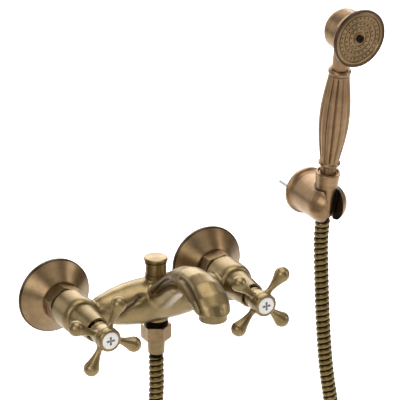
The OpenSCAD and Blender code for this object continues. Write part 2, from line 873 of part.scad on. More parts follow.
module head_shell() {
  back = face_out - head_h;
  flare = face_out - flare_h;
  wall = 2;
  color(copper_bronze) difference() {
    union() {
      at_head() rotate_extrude() polygon(concat(
        [[0, back]],
        [for (a = [-90 : 18 : 0]) [head_r - 7 + 7 * cos(a), back + 6 + 6 * sin(a)]],
        [[head_r, flare - 4], [head_r + 0.8, flare - 1], [head_r + 2.6, flare + 2.5],
         [face_r - 1.2, face_out - 4], [face_r, face_out - 2.4], [face_r, face_out],
         [0, face_out]]
      ));
      at_handset() rod(neck_r, grip_h + collar_h, head_up);
    }
    at_head() rotate_extrude() polygon([
      [0, back + wall], [head_r - 7, back + wall], [head_r - wall, back + 7], [head_r - wall, flare],
      [face_r - 5.2, face_out - 4.6], [face_r - 5.2, face_out - 3.35], [face_r - wall, face_out - 3.35],
      [face_r - wall, face_out + 1], [0, face_out + 1]
    ]);
    at_handset() rod(grip_bore_r, grip_h + collar_h - 1, head_up);
  }
}

module face_seal() {
  color(rubber) at_head() tube(face_r - 2.1, face_r - 4.6, face_out - 3.35, face_out - 2.6);
}

module face_plate() {
  low = face_out - 2.6;
  plate_r = face_r - 2.1;
  color(bronze) at_head() difference() {
    union() {
      rotate_extrude() polygon([
        [0, low], [plate_r, low], [plate_r, low + face_plate_h - 0.4], [plate_r - 0.8, low + face_plate_h],
        [plate_r - 2.2, low + face_plate_h], [plate_r - 3, low + 1.2], [6, low + 1.6],
        [5, low + 2.2], [0, low + 2.2]
      ]);
      rod(4, 0, low + 0.5);
    }
    rod(1.7, 0, face_out);
    for (ring = [[0.72, 28], [0.52, 20], [0.34, 13]], i = [0 : ring[1] - 1])
      rotate([0, 0, 360 * i / ring[1]]) translate([ring[0] * face_r, 0, low - 1]) cylinder(r = jet_r, h = 5);
  }
}

module face_screw() {
  seat = face_out - 0.4;
  color(dark_bronze) at_head() difference() {
    union() {
      rod(1.65, 1, seat);
      rod(3.5, seat, seat + 1.6);
    }
    translate([-2.4, -0.4, seat + 0.9]) cube([4.8, 0.8, 2]);
    translate([-0.4, -2.4, seat + 0.9]) cube([0.8, 4.8, 2]);
  }
}

// ---- bracket ----

module bracket_profile() {
  polygon(concat(
    [[0, 0], [bracket_flange_r, 0], [bracket_flange_r, 2.4], [bracket_flange_r - 0.6, 3],
     [ball_r + 1, 4], [ball_r, 8]],
    [for (a = [0 : 10 : 90]) [ball_r * cos(a), ball_y + ball_r * sin(a)]]
  ));
}

// the space that the cone nut, with a wall of w around it, takes in its rest
module cone_space(w) {
  slope = (cone_r0 - cone_r1) / cone_h;
  low = cone_end - 14;
  high = cone_top + 8;
  at_handset() cone(
    cone_r1 + cone_gap + w - 14 * slope, cone_r0 + cone_gap + w + 8 * slope, low, high
  );
}

module bracket_slot(w) {
  hole_y = rest_y - (rest_z - bracket_z) * tan(lean);
  translate([bracket_x - w / 2, -ball_y - ball_r - 5, bracket_z - ball_r - 5])
    cube([w, ball_y + ball_r + 5 - hole_y, 2 * ball_r + 10]);
}

module bracket_body() {
  color(bronze) difference() {
    at_bracket() rotate_extrude() bracket_profile();
    at_bracket() rod(pocket_r, -1, plate_h + 2.5);
    cone_space(liner_wall);
    bracket_slot(slot_w);
    translate([bracket_x, -2, bracket_z - bracket_flange_r - 1]) cylinder(r = 1.35, h = 8);
  }
}

module bracket_plate() {
  color(steel) at_bracket() difference() {
    rod(pocket_r - 0.2, 0, plate_h);
    for (side = [-1, 1]) translate([side * screw_pitch / 2, 0, 0]) rod(screw_r + 0.15, -1, plate_h + 1);
  }
}

module bracket_screws() {
  color(steel) at_bracket() for (side = [-1, 1]) translate([side * screw_pitch / 2, 0, 0]) difference() {
    union() {
      rod(screw_r, -screw_len, 0);
      rod(screw_r - screw_neck, -1, plate_h + 0.5);
      cone(screw_r * 2, screw_r * 1.4, plate_h, plate_h + 2);
    }
    translate([-2, -0.4, plate_h + 0.8]) cube([4, 0.8, 2]);
  }
}

module bracket_liner() {
  color(rubber) intersection() {
    difference() {
      cone_space(liner_wall - fit);
      cone_space(0);
      bracket_slot(slot_w - 1);
    }
    at_handset() rod(30, cone_end + 3, cone_top - 16);
  }
}

module bracket_grub_screw() {
  color(steel) translate([bracket_x, -2, bracket_z - pocket_r - 4]) cylinder(r = 1.3, h = 4.1);
}

// ---- nodes ----

mixer_body();
eccentric(hot);  // eccentric_hot
eccentric(cold);  // eccentric_cold
wall_flange(hot);  // wall_flange_hot
wall_flange(cold);  // wall_flange_cold
union_nut(hot);  // union_nut_hot
union_nut(cold);  // union_nut_cold
retaining_rings();
inlet_washers();
shroud(hot);  // shroud_hot
shroud(cold);  // shroud_cold
valve_housing(hot);  // valve_housing_hot
valve_housing(cold);  // valve_housing_cold
valve_spindle(hot);  // valve_spindle_hot
valve_spindle(cold);  // valve_spindle_cold
fixed_disc(hot);  // fixed_disc_hot
fixed_disc(cold);  // fixed_disc_cold
turning_disc(hot);  // turning_disc_hot
turning_disc(cold);  // turning_disc_cold
seat_seals();
handle(hot);  // handle_hot
handle(cold);  // handle_cold
handle_screw(hot);  // handle_screw_hot
handle_screw(cold);  // handle_screw_cold
index_ring(hot);  // index_ring_hot
index_ring(cold);  // index_ring_cold
index_disc(hot);  // index_disc_hot
index_disc(cold);  // index_disc_cold
aerator_ring();
aerator_insert();
aerator_washer();
diverter_bonnet();
diverter_knob();
diverter_stem();
diverter_seals();
diverter_spring();
outlet_nipple();
outlet_washer();
hose_nut();
hose_ferrule();
hose();
hose_tail();
cone_nut();
cone_washer();
handset_grip();
handset_collar();
head_shell();
face_plate();
face_seal();
face_screw();
bracket_body();
bracket_plate();
bracket_screws();
bracket_liner();
bracket_grub_screw();
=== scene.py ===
import json
import math
import bpy
from mathutils import Matrix, Vector, kdtree

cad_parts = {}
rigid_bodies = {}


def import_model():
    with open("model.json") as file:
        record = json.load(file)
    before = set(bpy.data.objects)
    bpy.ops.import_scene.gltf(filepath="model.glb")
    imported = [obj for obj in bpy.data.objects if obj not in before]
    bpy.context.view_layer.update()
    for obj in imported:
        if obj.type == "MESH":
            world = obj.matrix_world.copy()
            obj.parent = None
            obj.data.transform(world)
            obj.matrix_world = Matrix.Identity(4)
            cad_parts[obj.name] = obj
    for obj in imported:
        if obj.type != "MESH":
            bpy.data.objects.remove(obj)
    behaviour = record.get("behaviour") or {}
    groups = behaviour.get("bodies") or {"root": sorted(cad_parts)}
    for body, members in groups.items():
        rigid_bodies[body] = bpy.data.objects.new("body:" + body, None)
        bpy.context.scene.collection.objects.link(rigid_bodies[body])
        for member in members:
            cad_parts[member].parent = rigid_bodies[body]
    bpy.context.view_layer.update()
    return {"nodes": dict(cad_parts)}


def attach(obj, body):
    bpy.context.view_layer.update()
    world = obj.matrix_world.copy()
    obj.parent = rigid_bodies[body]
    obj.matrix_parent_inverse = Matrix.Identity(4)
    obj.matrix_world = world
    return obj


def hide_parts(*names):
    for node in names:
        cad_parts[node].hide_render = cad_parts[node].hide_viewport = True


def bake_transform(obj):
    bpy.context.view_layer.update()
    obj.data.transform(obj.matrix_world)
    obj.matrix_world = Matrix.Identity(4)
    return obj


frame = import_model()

mm = 0.001
nodes = frame["nodes"]
inletAside, outletOut, mouthOut = 75, 48, 151      # mm: aside from the middle, and out from the wall
print("frame loaded:", len(nodes), "nodes")


# camera
camera = {
    "azimuth": -28.42, "elevation": 22.48,       # degrees, from straight in front and up from level
    "distance": 2.897, "lens": 303.5,            # metres and mm
    "target": (0.04216, -0.050, 0.08356),
}
azimuth, elevation = math.radians(camera["azimuth"]), math.radians(camera["elevation"])
level = math.cos(elevation)
backwards = Vector((math.sin(azimuth) * level, -math.cos(azimuth) * level, math.sin(elevation)))
cameraData = bpy.data.cameras.new("studioCamera")
cameraData.lens = camera["lens"]
cameraObject = bpy.data.objects.new("studioCamera", cameraData)
bpy.context.scene.collection.objects.link(cameraObject)
cameraObject.location = Vector(camera["target"]) + backwards * camera["distance"]
cameraObject.rotation_euler = backwards.to_track_quat("Z", "Y").to_euler()
bpy.context.scene.camera = cameraObject


# small helpers for modelling
def clearSelection():
    if bpy.context.mode != "OBJECT":
        bpy.ops.object.mode_set(mode="OBJECT")
    bpy.ops.object.select_all(action="DESELECT")


def selectOnly(piece):
    clearSelection()
    piece.select_set(True)
    bpy.context.view_layer.objects.active = piece


def cleanMesh(piece, mergeMm=0.01):
    selectOnly(piece)
    bpy.ops.object.mode_set(mode="EDIT")
    bpy.ops.mesh.select_all(action="SELECT")
    bpy.ops.mesh.remove_doubles(threshold=mergeMm * mm)
    bpy.ops.mesh.dissolve_degenerate(threshold=0.001 * mm)
    bpy.ops.mesh.normals_make_consistent(inside=False)
    bpy.ops.object.mode_set(mode="OBJECT")


def smoothByAngle(piece, degrees=35):
    selectOnly(piece)
    bpy.ops.object.shade_smooth_by_angle(angle=math.radians(degrees))


def applyModifier(piece, kind, **settings):
    selectOnly(piece)
    modifier = piece.modifiers.new(kind.lower(), kind)
    for name, value in settings.items():
        setattr(modifier, name, value)
    bpy.ops.object.modifier_apply(modifier=modifier.name)


def meshPiece(name, points, faces):
    mesh = bpy.data.meshes.new(name)
    mesh.from_pydata(points, [], faces)
    piece = bpy.data.objects.new(name, mesh)
    bpy.context.scene.collection.objects.link(piece)
    return piece


def placeMesh(piece, matrix):
    piece.data.transform(matrix)
    piece.data.update()


def joined(pieces):
    clearSelection()
    for piece in pieces:
        piece.select_set(True)
    bpy.context.view_layer.objects.active = pieces[0]
    bpy.ops.object.join()
    return pieces[0]


def cutter(radius, depth, place, sides):
    clearSelection()
    bpy.ops.mesh.primitive_cylinder_add(
        vertices=sides, radius=radius * mm, depth=depth * mm, location=Vector(place) * mm)
    return bpy.context.active_object


def cutOut(piece, tool):
    applyModifier(piece, "BOOLEAN", operation="DIFFERENCE", object=tool, solver="EXACT")
    bpy.data.objects.remove(tool)


def turnedPiece(name, profile, steps):
    # a closed profile of [radius, height] in mm, spun round Z
    clearSelection()
    bpy.ops.mesh.primitive_plane_add(size=1 * mm, location=(0, 0, 0))
    piece = bpy.context.active_object
    piece.name = name
    bpy.ops.object.mode_set(mode="EDIT")
    bpy.ops.mesh.select_all(action="SELECT")
    bpy.ops.mesh.merge(type="CENTER")
    bpy.ops.transform.translate(value=(profile[0][0] * mm, 0, profile[0][1] * mm))
    for before, after in zip(profile, profile[1:]):
        move = ((after[0] - before[0]) * mm, 0, (after[1] - before[1]) * mm)
        bpy.ops.mesh.extrude_region_move(TRANSFORM_OT_translate={"value": move})
    bpy.ops.mesh.select_all(action="SELECT")
    bpy.ops.mesh.spin(steps=steps, angle=math.tau, center=(0, 0, 0), axis=(0, 0, 1))
    bpy.ops.object.mode_set(mode="OBJECT")
    cleanMesh(piece)
    return piece


def copyOfNode(nodeName, name):
    piece = bpy.data.objects.new(name, nodes[nodeName].data.copy())
    bpy.context.scene.collection.objects.link(piece)
    cleanMesh(piece)
    return piece


# spiral tubes: the hose and the outlet's thread
def smoothRoute(points, leadIn, leadOut, perStretch=12):
    # Catmull-Rom through the points, with a straight lead at each end
    knots = [Vector(p) for p in points]
    knots = [knots[0] + (knots[0] - knots[1])] + knots + [knots[-1] + (knots[-1] - knots[-2])]
    route = []
    for i in range(1, len(knots) - 2):
        a, b, c, d = knots[i - 1:i + 3]
        for k in range(perStretch):
            t = k / perStretch
            square = (2 * a - 5 * b + 4 * c - d) * t * t
            cube = (3 * b - a - 3 * c + d) * t ** 3
            route.append(0.5 * (2 * b + (c - a) * t + square + cube))
    route.append(knots[-2])
    return [Vector(p) for p in leadIn] + route + [Vector(p) for p in leadOut]


def evenSteps(route, step):
    # points and directions at equal distances along a route
    lengths = [0]
    for a, b in zip(route, route[1:]):
        lengths.append(lengths[-1] + (b - a).length)
    total = lengths[-1]
    count = max(2, round(total / step))
    out, j = [], 0
    for i in range(count + 1):
        s = total * i / count
        while j < len(route) - 2 and lengths[j + 1] < s:
            j += 1
        t = (s - lengths[j]) / max(lengths[j + 1] - lengths[j], 1e-9)
        out.append(route[j].lerp(route[j + 1], t))
    return out, total


def spiralTube(name, route, look, radiusAt):
    # a tube whose grid follows a helix, so that a band or a thread keeps a crisp edge
    pitch, perTurn, sides = look["pitch"], look["perTurn"], look["sides"]
    line, total = evenSteps(route, pitch / 4)
    side = Vector((1, 0, 0))
    frames = []
    for i, point in enumerate(line):
        ahead = (line[min(i + 1, len(line) - 1)] - line[max(i - 1, 0)]).normalized()
        side = (side - ahead * side.dot(ahead)).normalized()
        frames.append((point, side.copy(), ahead.cross(side)))
    rows = math.ceil(total / pitch * perTurn) + 2 * perTurn
    points, faces = [], []
    for row in range(rows + 1):
        for k in range(sides):
            s = min(max((row - perTurn) / perTurn * pitch + k / sides * pitch, 0), total)
            place = s / total * (len(line) - 1)
            j = min(int(place), len(line) - 2)
            t = place - j
            centre = frames[j][0].lerp(frames[j + 1][0], t)
            u = frames[j][1].lerp(frames[j + 1][1], t).normalized()
            v = frames[j][2].lerp(frames[j + 1][2], t).normalized()
            angle = math.tau * k / sides
            r = radiusAt(s, total, (row % perTurn) / perTurn)
            points.append((centre + (u * math.cos(angle) + v * math.sin(angle)) * r) * mm)
    # the sheared grid closes onto the row one turn further on
    for row in range(rows):
        for k in range(sides):
            a = row * sides + k
            if k < sides - 1:
                b, c, d = a + 1, a + sides + 1, a + sides
            else:
                b, c, d = (row + perTurn) * sides, (row + perTurn + 1) * sides, a + sides
                if row + perTurn + 1 > rows:
                    continue
            faces.append((a, b, c, d))
    piece = meshPiece(name, points, faces)
    selectOnly(piece)
    bpy.ops.object.mode_set(mode="EDIT")
    bpy.ops.mesh.select_all(action="SELECT")
    bpy.ops.mesh.remove_doubles(threshold=0.01 * mm)
    bpy.ops.mesh.fill_holes(sides=0)
    bpy.ops.mesh.select_all(action="SELECT")
    bpy.ops.mesh.normals_make_consistent(inside=False)
    bpy.ops.object.mode_set(mode="OBJECT")
    return piece, line, total


hoseLook = {
    "diameter": 13.5,
    "pitch": 5.4,        # mm from one band to the next
    "bandShare": 0.66,   # how much of the pitch the convex band takes
    "bandRise": 0.3,     # how far the band's crown stands over its edges
    "grooveDepth": 1.1,
    "perTurn": 9,
    "sides": 22,
    "lead": 14,
    "endLength": 4,      # plain stretch at each end, and how much thinner it is
    "endStep": 0.8,
    "darkBelow": 0.75,   # how far under the crown the dark groove starts
}
handShower = {
    "rest": (177, -39.5, 89.4),      # where the grip's lobes begin
    "lean": 9.5, "turn": 5,          # degrees forward, and round its own axis
    "headUp": 132, "tilt": 85.1,     # the head along that axis, and the angle from handle to spray
}
handLean = math.radians(handShower["lean"])
handUp = Vector((0, -math.sin(handLean), math.cos(handLean)))
hoseExit = Vector((0, -outletOut, -51.4))             # under the ferrule
hoseBack = Vector((177, -30.538, 35.845))             # in the cone nut's tail
hosePoints = [
    (0, -48, -85), (-2, -48, -112), (-6, -47, -150), (-12, -46, -200), (-17, -45, -250), (-20, -44, -300),
    (-17, -43, -350), (-4, -42, -400), (22, -41, -440), (55, -40, -463), (92, -39, -470), (129, -38, -461),
    (163, -37, -436), (188, -36, -396), (200, -35, -345), (203, -34, -295), (200, -33, -245),
    (194, -32, -195), (187, -32, -150), (181, -32, -110), (178, -30.5, -65), (177, -28.5, -20), (177, -27, 5),
]


def hoseRadius(s, total, phase):
    r = hoseLook["diameter"] / 2
    if s < hoseLook["endLength"] or s > total - hoseLook["endLength"]:
        return r - hoseLook["endStep"]
    share = hoseLook["bandShare"]
    if phase < share:
        return r - hoseLook["bandRise"] * (1 - math.sin(math.pi * phase / share))
    return r - hoseLook["grooveDepth"]


lead = hoseLook["lead"]
downwards = Vector((0, 0, -1))
firstKnot, lastKnot = hoseExit + downwards * lead, hoseBack - handUp * lead
hoseRoute = smoothRoute([firstKnot, *hosePoints, lastKnot], [hoseExit], [hoseBack])
hose, hoseLine, hoseLength = spiralTube("spiralHose", hoseRoute, hoseLook, hoseRadius)
print("hose:", round(hoseLength, 1), "mm,", len(hose.data.polygons), "faces")


# the outlet's thread, with its bore
outletLook = {
    "threadRadius": 10.48, "pitch": 1.814, "threadDepth": 1.16, "perTurn": 8, "sides": 48,
    "low": -31, "shoulder": -20.2, "top": -13, "spigotRadius": 8.4, "bore": 4.5, "drill": 30,
    "leadLength": 1.2, "leadStep": 0.8,      # how the thread's first turn runs out
}


def outletRadius(s, total, phase):
    height = outletLook["low"] + s
    if height > outletLook["shoulder"]:
        return outletLook["spigotRadius"]
    taper = min(1, s / outletLook["leadLength"])
    flank = outletLook["threadDepth"] * abs(2 * phase - 1)
    return outletLook["threadRadius"] - flank - outletLook["leadStep"] * (1 - taper)


diverterAxis = Vector((0, -outletOut, 0))
outletHeights = [outletLook[key] for key in ("low", "shoulder", "top")]
outletRoute = [diverterAxis + Vector((0, 0, z)) for z in outletHeights]
outletThread, _, _ = spiralTube("outletThread", outletRoute, outletLook, outletRadius)
outletMiddle = diverterAxis + Vector((0, 0, (outletLook["low"] + outletLook["top"]) / 2))
cutOut(outletThread, cutter(outletLook["bore"], outletLook["drill"], outletMiddle, outletLook["sides"]))
smoothByAngle(outletThread, 40)
print("outlet thread:", len(outletThread.data.polygons), "faces")


# cast body: the plain casting, softened, with its flutes pressed in
bodyLook = {
    "voxel": 0.85,
    "smoothTimes": 14,
    "fluteSide": -3,     # the flutes all lie to the left of this
    # the spout's middle line: how far out it leaves the bar, its crest and its mouth
    "rootOut": 46, "crestOut": 124, "crestHeight": 41, "mouthHeight": 27,
    "flank": 14,         # half the spout's width
    "stations": 14,
    "fluteReach": 1.8, "fluteFall": 2.2,     # in half widths, and how fast the depth falls away
    # each flute follows the middle line along the left flank: where it starts and ends, its height over
    # the line, how far its foot sweeps aside and drops on the bar, its half width and its depth
    "flutes": [
        {"from": 64, "to": 110, "above": -2.5, "sweep": 28, "drop": 12, "width": 3.5, "depth": 1.8},
        {"from": 64, "to": 94, "above": 4, "sweep": 12, "drop": 8, "width": 3.2, "depth": 1.3},
        {"from": 116, "to": 154, "above": 8, "sweep": 0, "drop": 0, "width": 3, "depth": 1.2},
    ],
    # what stays sharp: both barrels' seats, the diverter's seats and well, the bar's bore and the mouth
    "barrelFrom": 55, "barrelRadius": 13.8, "barrelBack": -31, "barrelFront": -56, "gapFrom": -30.5,
    "seatRadius": 11.2, "seatOver": 16, "seatUnder": -17, "wellRadius": 9.5, "wellHalf": 18,
    "boreRadius": 8.5, "boreFront": -66, "mouthRadius": 12.5, "mouthTop": 33,
}


def distanceToLine(point, line):
    best = None
    for a, b in zip(line, line[1:]):
        span = b - a
        t = min(max((point - a).dot(span) / span.length_squared, 0), 1)
        d = (point - a.lerp(b, t)).length
        if best is None or d < best:
            best = d
    return best


def spoutHeight(out):
    # a quarter wave up to the crest, then a parabola down to the mouth
    look = bodyLook
    if out < look["crestOut"]:
        climb = (out - look["rootOut"]) / (look["crestOut"] - look["rootOut"])
        return look["crestHeight"] * math.sin(math.pi / 2 * climb)
    fall = (out - look["crestOut"]) / (mouthOut - look["crestOut"])
    return look["crestHeight"] - (look["crestHeight"] - look["mouthHeight"]) * fall ** 2


def fluteLine(flute, body):
    line = []
    for i in range(bodyLook["stations"] + 1):
        t = i / bodyLook["stations"]
        foot = (1 - t) ** 3
        out = flute["from"] + (flute["to"] - flute["from"]) * t
        height = spoutHeight(out) + flute["above"] - flute["drop"] * foot
        place = Vector((-bodyLook["flank"] - flute["sweep"] * foot, -out, height)) * mm
        line.append(body.closest_point_on_mesh(place)[1] / mm)
    return line


def castingShare(x, y, z):
    # 1 on the casting's outer skin, 0 on seats, bores and machined faces
    look = bodyLook
    if abs(x) > look["barrelFrom"]:
        outside = math.hypot(abs(x) - inletAside, z) > look["barrelRadius"]
        return 1 if outside and look["barrelFront"] < y < look["barrelBack"] else 0
    fromAxis = math.hypot(x, y + outletOut)
    onSeat = fromAxis < look["seatRadius"] and (z > look["seatOver"] or z < look["seatUnder"])
    inBore = y > look["boreFront"] and math.hypot(y + outletOut, z) < look["boreRadius"]
    inWell = fromAxis < look["wellRadius"] and abs(z) < look["wellHalf"]
    atMouth = math.hypot(x, y + mouthOut) < look["mouthRadius"] and z < look["mouthTop"]
    return 0 if onSeat or inBore or inWell or atMouth else 1


castBody = copyOfNode("mixer_body", "castBody")
applyModifier(castBody, "REMESH", mode="VOXEL", voxel_size=bodyLook["voxel"] * mm, use_smooth_shade=True)
skin = castBody.vertex_groups.new(name="skin")
for vertex in castBody.data.vertices:
    share = castingShare(*(vertex.co / mm))
    if share:
        skin.add([vertex.index], share, "REPLACE")
applyModifier(castBody, "SMOOTH", factor=0.5, iterations=bodyLook["smoothTimes"], vertex_group="skin")
castBody.data.update()
creaseLayer = castBody.data.attributes.new("creaseShade", "FLOAT", "POINT")
fluteLines = [fluteLine(flute, castBody) for flute in bodyLook["flutes"]]
normals = [v.normal.copy() for v in castBody.data.vertices]
for i, vertex in enumerate(castBody.data.vertices):
    place = vertex.co / mm
    # painted shade: the gap behind each barrel is painted dark
    creaseShade = 1 if abs(place.x) > bodyLook["barrelFrom"] and place.y > bodyLook["gapFrom"] else 0
    if place.x < bodyLook["fluteSide"] and castingShare(*place):
        for flute, line in zip(bodyLook["flutes"], fluteLines):
            d = distanceToLine(place, line) / flute["width"]
            if d < bodyLook["fluteReach"]:
                press = math.exp(-bodyLook["fluteFall"] * d * d)
                vertex.co -= normals[i] * flute["depth"] * press * mm
                # the flute's hollow gets painted shade too, partly oxide in it
                creaseShade = max(creaseShade, press)
    creaseLayer.data[i].value = creaseShade
applyModifier(castBody, "SMOOTH", factor=0.5, iterations=2, vertex_group="skin")
castBody.vertex_groups.clear()
selectOnly(castBody)
bpy.ops.object.shade_smooth()
print("cast body:", len(castBody.data.polygons), "faces")


# hand shower frame
handPlace = Vector(handShower["rest"])
handTurn = Matrix.Rotation(math.radians(handShower["turn"]), 4, "Z")
handMatrix = Matrix.Translation(handPlace * mm) @ Matrix.Rotation(handLean, 4, "X") @ handTurn


# grip with twelve lobes
gripLook = {
    "length": 88.7, "foot": 8.35, "top": 9.3, "belly": 13.7,
    "bellyShape": 1.15, "bore": 5,
    # under the lobes: the threaded foot, its neck and the lower ring
    "under": [(8.9, -21), (9.4, -20.5), (9.4, -11), (7.4, -10), (7.4, -3.6), (8.3, -1.9), (9.2, -1.5),
              (9.75, -0.9), (9.9, -0.3), (9.7, 0.4), (8.6, 0.9), (8.35, 1.5)],
    "lobes": 12, "lobeTurn": -7.7, "stepsPerLobe": 14, "rows": 52,
    "valleyDepth": 1.6, "valleyShape": 1.5, "shallow": 0.55,       # least share of the depth where it is thin
    "lobesFrom": 1.2, "lobesInner": 7.9, "endFade": 3, "arch": 5,
    "neckInner": 7, "neckLow": -10, "neckHigh": -3, "neckDepth": 0.5,
}


def gripRadius(h):
    t = h / gripLook["length"]
    base = gripLook["foot"] + (gripLook["top"] - gripLook["foot"]) * t
    rise = gripLook["belly"] - (gripLook["foot"] + gripLook["top"]) / 2
    return base + rise * math.sin(math.pi * min(max(t, 0), 1)) ** gripLook["bellyShape"]


rows, gripTop = gripLook["rows"], gripLook["length"]
gripFoot = (gripLook["bore"], gripLook["under"][0][1])
gripProfile = [gripFoot] + gripLook["under"]
gripProfile += [(gripRadius(gripTop * i / rows), gripTop * i / rows) for i in range(2, rows)]
gripProfile += [(gripLook["top"], gripTop), (gripLook["bore"], gripTop), gripFoot]
grip = turnedPiece("flutedGrip", gripProfile, steps=gripLook["lobes"] * gripLook["stepsPerLobe"])
valleyLayer = grip.data.attributes.new("creaseShade", "FLOAT", "POINT")
for i, vertex in enumerate(grip.data.vertices):
    x, y, h = vertex.co / mm
    r = math.hypot(x, y)
    turn = math.degrees(math.atan2(y, x)) - gripLook["lobeTurn"]
    across = abs(math.sin(math.radians(turn) * gripLook["lobes"] / 2))   # 0 in a valley, 1 on a lobe's crown
    valley = (1 - across) ** gripLook["valleyShape"]
    depth = 0
    if r > gripLook["lobesInner"] and gripLook["lobesFrom"] < h < gripTop - 0.5:
        fromEnd = min(h - gripLook["lobesFrom"], gripTop - h)
        fade = min(1, (fromEnd - gripLook["arch"] * across) / gripLook["endFade"])
        wide = gripLook["shallow"] + (1 - gripLook["shallow"]) * r / gripLook["belly"]
        depth = gripLook["valleyDepth"] * math.sin(math.pi / 2 * max(fade, 0)) * wide
    elif gripLook["neckInner"] < r < gripLook["lobesInner"]:
        depth = gripLook["neckDepth"] if gripLook["neckLow"] < h < gripLook["neckHigh"] else 0
    vertex.co.x *= 1 - depth * valley / max(r, 1)
    vertex.co.y *= 1 - depth * valley / max(r, 1)
    # painted shade in the lobes' valleys, partly oxide in them, stored for the material
    valleyLayer.data[i].value = valley if depth > 0 else 0
placeMesh(grip, handMatrix)
smoothByAngle(grip, 50)
print("grip:", len(grip.data.polygons), "faces")


# spray face: stepped rings round a boss, drilled with three rings of jets
faceLook = {
    "low": 20.4, "thick": 2.4, "stem": 4, "bore": 1.7, "radius": 23.9,
    "jetRadius": 0.72, "jetRings": [(18.72, 28), (13.52, 20), (8.84, 13)],
    "ringHalf": 1.75, "groove": 1.2, "ringTop": 1.95, "boss": 5.6, "bossTop": 2.3,
    "jetSides": 12, "drill": 8,
}
faceMatrix = (handMatrix @ Matrix.Translation((0, 0, handShower["headUp"] * mm))
              @ Matrix.Rotation(math.radians(handShower["tilt"]), 4, "X"))


def faceProfile():
    look, outer, thick = faceLook, faceLook["radius"], faceLook["thick"]
    rows = [(look["bore"], -look["low"]), (look["stem"], -look["low"]), (look["stem"], 0), (outer, 0),
            (outer, thick - 0.4), (outer - 0.8, thick), (outer - 2, thick), (outer - 2.6, look["groove"])]
    half = look["ringHalf"]
    for radius, _ in look["jetRings"]:
        rows += [(radius + half, look["groove"]), (radius + half - 0.3, look["ringTop"]),
                 (radius - half + 0.3, look["ringTop"]), (radius - half, look["groove"])]
    rows += [(look["boss"], look["groove"]), (look["boss"] - 0.4, look["bossTop"])]
    rows.append((look["bore"], look["bossTop"]))
    return [(r, h + look["low"]) for r, h in rows + rows[:1]]


sprayFace = turnedPiece("sprayFace", faceProfile(), steps=112)
jetDrills = []
for radius, count in faceLook["jetRings"]:
    for k in range(count):
        turn = math.tau * k / count
        place = (radius * math.cos(turn), radius * math.sin(turn), faceLook["low"] + 1)
        jetDrills.append(cutter(faceLook["jetRadius"], faceLook["drill"], place, faceLook["jetSides"]))
cutOut(sprayFace, joined(jetDrills))
placeMesh(sprayFace, faceMatrix)
smoothByAngle(sprayFace, 30)
print("spray face:", len(sprayFace.data.polygons), "faces")


# cross handles
handleLook = {
    "hub": [(0, 86), (8.2, 86), (9, 86.8), (9.1, 88.2), (8.3, 89.4), (8.3, 90.4), (8.9, 91.4), (9.4, 93),
            (9.9, 96), (10.2, 99), (10.4, 101.5), (10.5, 103), (9.9, 104), (8, 104), (0, 104)],
    # an arm is a club: its waist and where that is, then a curve out to the round end
    "armRoot": 3.6, "armStart": 5, "rootLength": 4, "armWaist": 2.6, "waistAt": 12.5,
    "swellPower": 1.7, "clubSteps": 12, "meetAngle": 108, "knob": 6.8, "reach": 30, "armHeight": 98.5,
    # the blind holes: radius, and from where to where along the axis
    "holes": [(4.05, 80, 97), (2.1, 90, 110), (7.85, 100, 110)], "holeSides": 64,
    "turn": {"hot": 19, "cold": 0}, "voxel": 0.33,
}


def armProfile():
    # [radius, distance from the hub's axis], ending in the round end where the swell meets it
    look = handleLook
    knob, reach = look["knob"], look["reach"]
    meet = math.radians(look["meetAngle"])
    meetRadius, meetAt = knob * math.sin(meet), reach + knob * math.cos(meet)
    start, root = look["armStart"], look["armRoot"]
    rows = [(0, start), (root, start), (root, start + look["rootLength"])]
    for i in range(look["clubSteps"] + 1):
        t = i / look["clubSteps"]
        swell = look["armWaist"] + (meetRadius - look["armWaist"]) * t ** look["swellPower"]
        rows.append((swell, look["waistAt"] + (meetAt - look["waistAt"]) * t))
    for degrees in range(100, -1, -10):
        a = math.radians(degrees)
        rows.append((knob * math.sin(a), reach + knob * math.cos(a)))
    return rows


def crossHandle(side):
    parts = [turnedPiece("handleHub", handleLook["hub"], steps=72)]
    for k in range(4):
        arm = turnedPiece("handleArm", armProfile(), steps=40)
        lift = Matrix.Translation((0, 0, handleLook["armHeight"] * mm))
        aim = Matrix.Rotation(math.radians(45 + 90 * k), 4, "Z") @ Matrix.Rotation(math.radians(90), 4, "Y")
        placeMesh(arm, lift @ aim)
        parts.append(arm)
    hub = joined(parts)
    applyModifier(hub, "REMESH", mode="VOXEL", voxel_size=handleLook["voxel"] * mm, use_smooth_shade=True)
    applyModifier(hub, "SMOOTH", factor=0.5, iterations=3)
    for radius, low, high in handleLook["holes"]:
        cutOut(hub, cutter(radius, high - low, (0, 0, (low + high) / 2), handleLook["holeSides"]))
    x = -inletAside if side == "hot" else inletAside
    turn = Matrix.Rotation(math.radians(handleLook["turn"][side]), 4, "Z")
    placeMesh(hub, Matrix.Translation((x * mm, 0, 0)) @ Matrix.Rotation(math.radians(90), 4, "X") @ turn)
    hub.name = "crossHandle" + side.capitalize()
    smoothByAngle(hub, 40)
    print(hub.name + ":", len(hub.data.polygons), "faces")
    return hub


handleHot = crossHandle("hot")
handleCold = crossHandle("cold")


# materials
def linearColour(hexColour):
    values = [int(hexColour[i:i + 2], 16) / 255 for i in (1, 3, 5)]
    return [v / 12.92 if v <= 0.04045 else ((v + 0.055) / 1.055) ** 2.4 for v in values] + [1]


def addNode(tree, kind, sockets=None, **settings):
    # a value that is itself a socket is linked, and any other is set
    node = tree.nodes.new(kind)
    for name, value in settings.items():
        setattr(node, name, value)
    for name, value in (sockets or {}).items():
        if isinstance(value, bpy.types.NodeSocket):
            tree.links.new(value, node.inputs[name])
        else:
            node.inputs[name].default_value = value
    return node


def newMaterial(name):
    material = bpy.data.materials.new(name)
    material.use_nodes = True
    tree = material.node_tree
    shader = tree.nodes["Principled BSDF"]
    place = addNode(tree, "ShaderNodeTexCoord").outputs["Object"]
    return material, tree, shader, place


